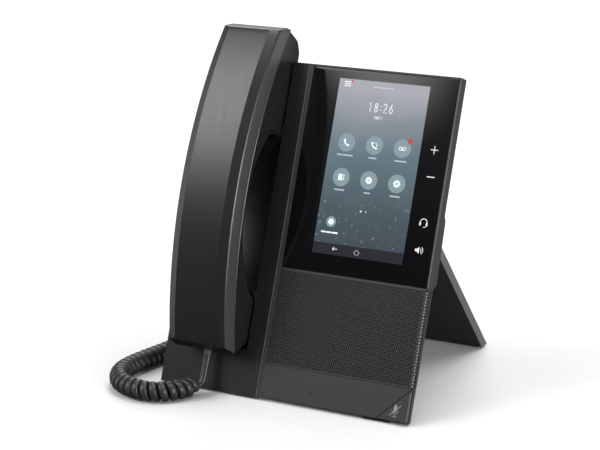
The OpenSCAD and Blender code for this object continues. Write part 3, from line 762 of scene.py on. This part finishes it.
def shellHoles(values, middle):  # nine ear holes, the mouth slot and the plug's opening
    pitch = values["earPitch"]
    holes = [blob(middle + dx * pitch, values["earY"] + dy * pitch, values["earRadius"],
                  *values["earDepths"], 12) for dx in (-1, 0, 1) for dy in (-1, 0, 1)]
    for name in ("slot", "plug"):
        half, low, high, radius = values[name]
        outline = box(middle - half, middle + half, low, high, radius)
        holes.append(layers(outline, [(depth, 0) for depth in values[name + "Depths"]]))
    return holes


cut(handsetRear, shellHoles(holeValues, handsetValues["middle"]))


# Perforated grille
grilleLow, grilleHigh = faceBox("speaker_grille")
grilleValues = {"pitch": 0.00165, "rowPitch": 0.00143, "hole": 0.0006, "blind": 0.0009,
                "margin": 0.0003, "thick": 0.0014}


def perforated(width, height, spot):
    # a plate with staggered blind holes; spot turns (across, along, depth) into a place
    values = grilleValues
    rows = max(1, int((height - 2 * values["margin"]) / values["rowPitch"]))
    count = max(1, int((width - 2 * values["margin"]) / values["pitch"]))
    left = (width - count * values["pitch"]) / 2
    low = (height - rows * values["rowPitch"]) / 2
    points, faces = [], []
    index = {}

    def at(x, y, z=0.0):
        key = (round(x * 1e7), round(y * 1e7), round(z * 1e7))
        if key not in index:
            index[key] = len(points)
            points.append(spot(x, y, z))
        return index[key]

    quarter, halfRow = values["pitch"] / 4, values["rowPitch"] / 2
    wholeCell = ([(q, 1) for q in (2, 1, 0, -1, -2)] + [(-2, 0)]
                 + [(q, -1) for q in (-2, -1, 0, 1, 2)] + [(2, 0)])
    halfCell = [(0, 1), (1, 1), (2, 1), (2, 0), (2, -1), (1, -1), (0, -1), (0, 0)]
    high, right = low + rows * values["rowPitch"], left + count * values["pitch"]
    for row in range(rows):
        cy = low + (row + 0.5) * values["rowPitch"]
        odd = row % 2
        for k in range(count - odd):
            cx = left + (k + 0.5 + 0.5 * odd) * values["pitch"]
            edge = [(cx + q * quarter, cy + r * halfRow) for q, r in wholeCell]
            turns = [math.atan2(y - cy, x - cx) for x, y in edge]
            rim = [(cx + values["hole"] * math.cos(a), cy + values["hole"] * math.sin(a))
                   for a in turns]
            outer = [at(x, y) for x, y in edge]
            top, deep = [[at(x, y, z) for x, y in rim] for z in (0.0, -values["blind"])]
            for i in range(len(edge)):
                j = (i + 1) % len(edge)
                faces += [(outer[i], outer[j], top[j], top[i]), (top[i], top[j], deep[j], deep[i])]
            faces.append(tuple(deep))
        if odd:
            for start, way in ((left, 1), (right, -1)):
                faces.append(tuple(at(start + way * q * quarter, cy + r * halfRow)
                                   for q, r in halfCell))
    # plain border round the holes
    across = [left + q * quarter for q in range(4 * count + 1)]
    along = [low + q * halfRow for q in range(2 * rows + 1)]
    borders = [[at(x, high) for x in reversed(across)], [at(x, low) for x in across],
               [at(left, y) for y in along], [at(right, y) for y in along]]
    plan = ((0, 0), (width, 0), (width, height), (0, height))
    corners, under = [[at(x, y, z) for x, y in plan] for z in (0.0, -values["thick"])]
    for border, (start, stop) in zip(borders, ((2, 3), (0, 1), (0, 3), (1, 2))):
        faces.append((corners[start], *border, corners[stop]))
    for i in range(4):
        j = (i + 1) % 4
        faces.append((corners[i], corners[j], under[j], under[i]))
    faces.append(tuple(under))
    return points, faces


print("grille")
edgeGap, sideDepth = 0.0007, 0.0046
frontPlate = perforated(
    grilleHigh.x - edgeGap - grilleLow.x, grilleHigh.y - grilleLow.y,
    lambda x, y, z: onFace(grilleLow.x + x, grilleLow.y + y, grilleHigh.z + z))
sidePlate = perforated(
    sideDepth, grilleHigh.y - grilleLow.y,
    lambda x, y, z: onFace(grilleHigh.x + z, grilleLow.y + y, grilleHigh.z - edgeGap - x))
grilleFront = addPiece("grilleFront", *frontPlate, "grillePlastic", "root", "grille_plastic",
                       ("speaker_grille",), 30)
grilleSide = addPiece("grilleSide", *sidePlate, "grillePlastic", "root", "grille_plastic", (), 30)
skinDeep = 0.0001
# hole walls and bottoms take the near-black copy: painted shade inside the holes
tintFaces(grilleFront, "wellPlastic",
          lambda face: (face.center - faceOrigin).dot(outDir) < grilleHigh.z - skinDeep)
tintFaces(grilleSide, "wellPlastic", lambda face: face.center.x < grilleHigh.x - skinDeep)
railValues = {"ends": (0.002, -0.001), "sides": (-0.0003, 0.0002), "corner": 0.0002,
              "depths": (-0.001, 0.0002)}
railX = [x + end for x, end in zip((grilleLow.x, grilleHigh.x), railValues["ends"])]
railY = [grilleHigh.y + side for side in railValues["sides"]]
# the rail under the glass takes the lighter copy: a painted highlight along the lip
addPiece("grilleRail", *layers(box(*railX, *railY, railValues["corner"]),
                               [(grilleHigh.z + depth, 0) for depth in railValues["depths"]]),
         "handsetSide", "root", "grille_plastic")


# Painted highlights: lighter strips along the rounded edges, where light would catch them
highlightStripValues = {"radius": 0.0005, "proud": 0.00004, "dash": 0.0011, "gap": 0.0008, "inset": 0.0006}


# a lighter strip on the rounded corner, painted as a highlight
def edgeStrip(x, start, stop):  # the rounded corner along an upright right-hand edge
    radius = highlightStripValues["radius"]
    section = [(x - radius, -radius)] + [
        (x - radius + px, pz - radius)
        for px, pz in arc(0, 0, radius + highlightStripValues["proud"], 0, 90, 6)]
    points = [onFace(px, y, pz) for y in (start, stop) for px, pz in section]
    return points, tubeFaces(len(points), len(section))


displayHigh = faceBox("display_housing")[1]
cradleLow, cradleHigh = faceBox("cradle_housing")
inset, dash = highlightStripValues["inset"], highlightStripValues["dash"]
strips = [edgeStrip(displayHigh.x, grilleHigh.y + 2 * inset, displayHigh.y - inset),
          edgeStrip(cradleHigh.x, cradleLow.y + inset, cradleHigh.y - inset)]
# the dashes along the grille paint the highlight as broken up by the holes
y = grilleLow.y + inset
while y + dash < grilleHigh.y:
    strips.append(edgeStrip(displayHigh.x, y, y + dash))
    y += dash + highlightStripValues["gap"]
# painted highlights along the display's right edge and the cradle's rim
addPiece("bodyEdges", *joined(strips), "brightEdge", "root", "housing_plastic")
# the same painted highlight along the mute key's right edge
keyLow, keyHigh = faceBox("mute_key")
addPiece("keyEdge", *edgeStrip(keyHigh.x, keyLow.y + inset, keyHigh.y - 4 * inset),
         "brightEdge", "mute_key", "housing_plastic")


# Glass, display and symbols
glassLow, glassHigh = faceBox("touch_glass")
panelLow, panelHigh = faceBox("lcd_panel")
displayValues = {"sideMargin": 0.0025, "lowMargin": 0.0045, "topMargin": 0.0018, "skin": 0.00003,
                 "buttonRadius": 0.0058, "columns": (0.0118, 0.0310, 0.0502),
                 "rows": (0.0708, 0.0488), "labelDrop": 0.0084, "digitHeight": 0.0056}
litLow = Vector((panelLow.x + displayValues["sideMargin"], panelLow.y + displayValues["lowMargin"]))
litHigh = Vector((panelHigh.x - displayValues["sideMargin"],
                  panelHigh.y - displayValues["topMargin"]))
finishes["screenPicture"] = screenPicture(litLow, litHigh)


class Drawing:  # flat marks at one height above a face, gathered into one piece
    def __init__(self, base, origin=(0, 0), unit=0.001):
        self.low = base
        self.high = base + displayValues["skin"]
        self.origin = origin
        self.unit = unit
        self.solids = []

    def spots(self, points, middle):
        return [(self.origin[0] + (middle[0] + x) * self.unit,
                 self.origin[1] + (middle[1] + y) * self.unit) for x, y in points]

    def line(self, middle, points, width, closed=False):
        line = self.spots(points, middle)
        self.solids.append(band(line, width * self.unit, self.low, self.high, closed))
        if not closed:
            for end in (line[0], line[-1]):
                self.solids.append(blob(*end, width * self.unit / 2, self.low, self.high, 12))

    def strokes(self, middle, width, *lines):
        for line in lines:
            self.line(middle, line, width)

    def patch(self, middle, points):
        self.solids.append(layers(self.spots(points, middle), [(self.low, 0), (self.high, 0)]))

    def dot(self, middle, radius, sides=28):
        self.patch(middle, arc(0, 0, radius, 0, 360 - 360 / sides, sides - 1))

    def ring(self, middle, radius, width):
        self.line(middle, arc(0, 0, radius, 0, 352, 44), width, closed=True)

    def words(self, middle, whole, height, parts):  # a caption shown only as worn dashes
        space = 0.22 * height * 2
        span = (whole - space * (len(parts) - 1)) / sum(parts)
        x = -whole / 2
        for part in parts:
            self.patch((middle[0] + x, middle[1]), box(0, part * span, 0, height, 0))
            x += part * span + space

    def piece(self, name, finish, body, slotName):
        return addPiece(name, *joined(self.solids), finish, body, slotName)


digitLines = {
    "0": [arc(0.5, 0.5, 0.5, 0, 345, 23)],
    "1": [[(0.25, 0.82), (0.55, 1.0), (0.55, 0.0)]],
    "2": [arc(0.5, 0.72, 0.28, 165, -35, 12) + [(0.16, 0.0), (0.86, 0.0)]],
    "6": [arc(0.5, 0.29, 0.29, 0, 345, 23), [(0.23, 0.36), (0.62, 1.0)]],
    "8": [arc(0.5, 0.26, 0.26, 0, 345, 23), arc(0.5, 0.76, 0.22, 0, 345, 23)],
    "/": [[(0.2, -0.05), (0.6, 1.05)]],
}


def digits(drawing, middle, text, height, weight):
    wide = height * 0.62
    steps = [wide * (0.5 if mark in ":/" else 1.0) * 1.18 for mark in text]
    x = middle[0] - sum(steps) / 2
    for mark, step in zip(text, steps):
        if mark == ":":
            for y in (0.25, 0.7):
                drawing.dot((x + step * 0.4, middle[1] + y * height), weight * 0.8, 12)
        for line in digitLines.get(mark, []):
            loop = len(line) > 20
            drawing.line((x, middle[1]), [(px * wide, py * height) for px, py in line],
                         weight, closed=loop)
        x += step


def buttonGlyph(drawing, middle, kind):
    if kind in ("call", "redial"):
        drawing.line(middle, [(-1.7, 1.7), (-1.5, 0.2), (-0.3, -1.2), (1.6, -1.8)], 0.85)
        drawing.dot((middle[0] - 1.55, middle[1] + 1.3), 0.75)
        drawing.dot((middle[0] + 1.2, middle[1] - 1.65), 0.75)
    if kind == "redial":
        drawing.line(middle, arc(0.2, 0.3, 1.5, 95, -10, 8), 0.4)
        drawing.patch(middle, [(1.2, 0.2), (2.2, 0.4), (1.75, -0.6)])
    if kind == "messages":
        for side in (-1.25, 1.25):
            drawing.ring((middle[0] + side, middle[1]), 0.95, 0.42)
        drawing.line(middle, [(-1.25, -0.95), (1.25, -0.95)], 0.42)
    if kind == "contacts":
        drawing.patch(middle, box(-2.0, 0.7, -2.0, 2.0, 0.3))
        for y in (-1.3, 0.0, 1.3):
            drawing.line(middle, [(1.5, y), (1.9, y)], 0.7)
    if kind == "quiet":
        drawing.dot(middle, 2.1)
    if kind == "settings":
        teeth = []
        for k in range(8):
            for turn, reach in ((-14, 1.75), (-8, 2.55), (8, 2.55), (14, 1.75)):
                a = math.radians(k * 45 + turn)
                teeth.append((reach * math.cos(a), reach * math.sin(a)))
        drawing.patch(middle, teeth)


print("display")
addPiece("coverGlass", *layers(box(glassLow.x, glassHigh.x, glassLow.y, glassHigh.y, 0.0015), [
    (glassLow.z, 0), (glassHigh.z - 0.00022, 0), (glassHigh.z - 0.00006, 0.00006),
    (glassHigh.z, 0.00022)]), "blackGlass", "root", "cover_glass", ("touch_glass",), 50)
skin = displayValues["skin"]
screenTop = glassHigh.z
addPiece("displayPicture", *layers(
    box(litLow.x, litHigh.x, litLow.y, litHigh.y, 0),
    [(screenTop, 0), (screenTop + skin, 0)]), "screenPicture", "root", "screen")
corner = (litLow.x, litLow.y)
tint, white, faint, red, over = [Drawing(screenTop + skin * level, corner)
                                 for level in (1, 2, 1, 2, 3)]
columns = [1000 * c for c in displayValues["columns"]]
kinds = [["call", "redial", "messages"], ["contacts", "quiet", "settings"]]
captions = [[(3, 5), (4,), (6,)], [(5,), (3,), (5,)]]
for row, y in enumerate(1000 * r for r in displayValues["rows"]):
    for column, x in enumerate(columns):
        tint.dot((x, y), 1000 * displayValues["buttonRadius"], 40)
        buttonGlyph(white, (x, y), kinds[row][column])
        parts = captions[row][column]
        faint.words((x, y - 1000 * displayValues["labelDrop"]), sum(parts) * 1.35, 0.9, parts)
over.line((columns[1], 1000 * displayValues["rows"][1]), [(-1.1, 0), (1.1, 0)], 0.55)
over.dot((columns[2], 1000 * displayValues["rows"][1]), 0.8)
tint.dot((9.8, 20.4), 3.4, 32)
white.dot((9.8, 20.4), 1.9)
white.words((9.8, 13.2), 11.5, 1.0, (3, 3, 4))
white.dot((29.0, 29.1), 0.55, 16)
faint.dot((32.4, 29.1), 0.55, 16)
for y in (106.3, 107.6, 108.9):
    white.line((6.1, y), [(-2.0, 0), (2.0, 0)], 0.5)
red.dot((9.0, 109.3), 0.75, 16)
faint.words((31.0, 106.6), 14.0, 0.8, (4, 5, 3))
digits(white, (31.5, 91.6), "18:26", 1000 * displayValues["digitHeight"], 0.4)
digits(white, (31.0, 87.2), "08/11", 1.8, 0.24)
red.dot((columns[2] + 4.6, 1000 * displayValues["rows"][0] + 4.9), 1.7)
white.strokes((15.2, 3.8), 0.35, [(1.6, 0), (-1.4, 0)], [(-0.5, 0.9), (-1.4, 0), (-0.5, -0.9)])
faint.strokes((30.6, 3.4), 0.32, [(-1.3, -0.2), (-1.3, -1.4), (1.3, -1.4), (1.3, -0.2)],
              [(-1.9, -0.1), (0, 1.7), (1.9, -0.1)])
for drawing, name, finish in ((tint, "displayButtons", "screenTint"),
                              (white, "displaySymbols", "screenWhite"),
                              (faint, "displayCaptions", "screenFaint"),
                              (red, "displayBadges", "badgeRed"),
                              (over, "displayKnockouts", "screenTint")):
    drawing.piece(name, finish, "root", "screen")

marks = Drawing(screenTop, corner)
marks.strokes((71.6, 72.2), 0.5, [(-2.35, 0), (2.35, 0)], [(0, -2.35), (0, 2.35)])
marks.line((71.9, 55.5), [(-2.35, 0), (2.35, 0)], 0.6)
marks.line((72.1, 27.3), arc(0, 0.1, 2.3, 200, -20, 18), 0.5)
for side in (-1, 1):
    marks.line((72.1 + side * 2.2, 27.3), [(0, -1.4), (0, -0.2)], 1.15)
marks.line((72.1, 27.3), [(2.2, -1.7), (1.6, -2.5), (0.2, -2.8)], 0.42)
marks.patch((71.2, 10.3), [(-1.9, -0.8), (-0.7, -0.8), (0.8, -2.1), (0.8, 2.1), (-0.7, 0.8),
                           (-1.9, 0.8)])
marks.strokes((71.2, 10.3), 0.42, arc(0.9, 0, 1.2, -48, 48, 8), arc(0.9, 0, 2.4, -52, 52, 10))
# the printed glass symbols glow with painted light
marks.piece("glassSymbols", "whitePrint", "root", "cover_glass")

muted = Drawing(keyHigh.z, (0.0788, 0.0076), 0.00098)
capsule = [(-0.95, -1.4), (0.95, -1.4), (0.95, 3.2), (-0.95, 3.2)]
muted.patch((0, 0.9), eased(capsule, 0.94, 6, True))
muted.line((0, 0.7), arc(0, 0, 2.2, 185, 355, 14), 0.34)
muted.strokes((0, 0), 0.34, [(0, -1.6), (0, -3.2)], [(-1.5, -3.3), (1.5, -3.3)])
muted.line((0, 0), [(-3.5, -3.0), (3.5, 3.9)], 0.42)
# the printed mute symbol glows faintly with painted light
muted.piece("muteSymbol", "greyPrint", "mute_key", "housing_plastic")


# Floor, lights, finish
stageValues = {
    "floorSize": 6.0, "floorDrop": 0.0002, "floorTone": (0.90, 0.90, 0.90), "wall": 0.97,
    "skyLow": 0.03, "skyHigh": 0.30, "skyTop": 0.75,
    "glows": [{"way": (-0.52, -0.55, 0.65), "edge": 0.895, "power": 5.4},
              {"way": (-0.95, -0.25, 0.12), "edge": 0.72, "power": 1.0},
              {"way": (0.92, -0.34, 0.18), "edge": 0.94, "power": 11.0},
              {"way": (0.80, 0.58, -0.14), "edge": 0.88, "power": 2.2}],
}


def makeFloor(values):
    finish = Finish("paleFloor")
    cloud = finish.noise(0.6, 3)
    finish.surface({"Base Color": finish.tones(cloud, values["floorTone"], 0.985),
                    "Roughness": 0.6 + cloud * 0.1})
    mesh = bpy.data.meshes.new("floor")
    size, drop = values["floorSize"], values["floorDrop"]
    corners = [(x * size, y * size, -drop) for x, y in ((-1, -1), (1, -1), (1, 1), (-1, 1))]
    mesh.from_pydata(corners, [], [(0, 1, 2, 3)])
    mesh.materials.append(finish.material)
    floor = placed("floor", mesh)
    floor.visible_glossy = False  # the dark studio, and not the floor, shows in glossy faces


def makeStudio(values):  # a dim room with soft glows, behind a pale wall that only the lens sees
    world = bpy.data.worlds.new("studio")
    bpy.context.scene.world = world
    studio = Finish("studio", world)
    way = studio.node("TexCoord", output=0)

    def share(direction, low, high):  # 0 to 1 as the view turns towards a direction
        along = studio.node("VectorMath", {"operation": "DOT_PRODUCT"},
                            {0: way, 1: tuple(Vector(direction).normalized())}, output=1)
        return studio.node("MapRange", {"interpolation_type": "SMOOTHSTEP"},
                           {"Value": along, "From Min": low, "From Max": high})

    total = share((0, 0, 1), 0.0, values["skyTop"]) * (values["skyHigh"] - values["skyLow"])
    total = total + values["skyLow"]
    for glow in values["glows"]:
        near = share(glow["way"], glow["edge"], 1.0)
        total = total + near * near * glow["power"]
    seen = studio.node("LightPath", output=0)
    shown = studio.node("Mix", {"data_type": "FLOAT"}, {0: seen, 2: total, 3: values["wall"]})
    lamp = studio.node("Background", {}, {"Color": shown})
    studio.node("OutputWorld", {}, {"Surface": lamp})


lampValues = {
    "rightBox": {"place": (1.5, -0.62, 0.40), "size": (0.25, 1.0), "power": 5},
    "topBox": {"place": (0.3, 0.2, 2.2), "size": (1.8, 1.4), "power": 29},
    "backBox": {"place": (-0.9, 1.6, 1.2), "size": (1.2, 0.9), "power": 12},
}


def makeLamps(values, target):
    for name, lamp in values.items():
        data = bpy.data.lights.new(name, "AREA")
        data.shape = "RECTANGLE"
        data.size, data.size_y = lamp["size"]
        data.energy = lamp["power"]
        made = placed(name, data)
        made.location = lamp["place"]
        made.rotation_mode = "QUATERNION"
        made.rotation_quaternion = (target - Vector(lamp["place"])).to_track_quat("-Z", "Y")


print("stage and lights")
makeFloor(stageValues)
makeStudio(stageValues)
makeLamps(lampValues, Vector((0, 0, 0.1)))
bpy.context.scene.view_settings.view_transform = "Standard"


# Finishes of the modelled nodes
thinEdge = 0.00005
softEdge = {"cradle_housing": 0.0004, "display_housing": 0.0004, "chin_cover": 0.00025,
            "mute_key": 0.00025, "rear_cover": 0.0004, "stand_plate": 0.0006,
            "stand_foot_pads": 0.0004, "rubber_feet": 0.0003, "call_light": 0.0002,
            "case_screws": 0.0002, "cord_handset_plug": 0.0003, "cord_base_plug": 0.0003,
            "hook_plunger": 0.0003, "hinge_pins": 0.0002}
slotFinish = {"housing_plastic": "casePlastic", "inner_plastic": "jackPlastic",
              "cover_glass": "blackGlass", "screen": "blackGlass", "light_bar": "smokyBar",
              "rubber": "footRubber", "plug_plastic": "plugResin"}
pocketValues = {"clearance": 0.0019, "lowEnd": 0.027, "skin": 0.0002}


def usualFinish(slotName):  # the other slots' finishes bear the slot's name
    first, *others = slotName.split("_")
    return slotFinish.get(slotName) or first + "".join(word.capitalize() for word in others)


# faces found here take the near-black copy as painted shade
def inPocket(spot):  # the smooth pockets and finger well under the handset
    x, y, z = (spot.dot(way) for way in (acrossDir, upDir, outDir))
    reach = handsetValues["halfWidth"] + pocketValues["clearance"]
    inside = abs(x - handsetValues["middle"]) < reach and y > pocketValues["lowEnd"]
    return inside and z < -pocketValues["skin"]


def dress(node, finish, edge):  # a node's finish, and its edges softened if edge is given
    mesh = node.data
    mesh.materials.clear()
    mesh.materials.append(finishes[finish])
    if node.name == "cradle_housing":
        # the pockets and finger well take the near-black copy: painted shade in the recess
        tintFaces(node, "wellPlastic", lambda face: inPocket(face.center - faceOrigin))
    if node.name == "stand_plate":
        # the stand's side faces take the lighter copy: painted light
        tintFaces(node, "standEdge", lambda face: abs(face.normal.x) > 0.9)
    if "custom_normal" in mesh.attributes:
        mesh.attributes.remove(mesh.attributes["custom_normal"])
    mesh.shade_smooth()
    modify(node, "weld", "WELD", {"merge_threshold": 0.000002})
    modify(node, "flat", "DECIMATE", {"decimate_type": "DISSOLVE", "delimit": {"MATERIAL"},
                                      "angle_limit": math.radians(0.4)})
    modify(node, "soft", "BEVEL", {"width": edge or thinEdge, "segments": 3 if edge else 1,
                                   "limit_method": "ANGLE", "angle_limit": math.radians(32),
                                   "harden_normals": True, "miter_outer": "MITER_ARC"})


for entry in frame["record"]["subparts"]:
    name = entry["node"]
    usual = usualFinish(entry["material_slot"])
    dress(nodes[name], "cradlePlastic" if name == "cradle_housing" else usual, softEdge.get(name))
print("nodes dressed")
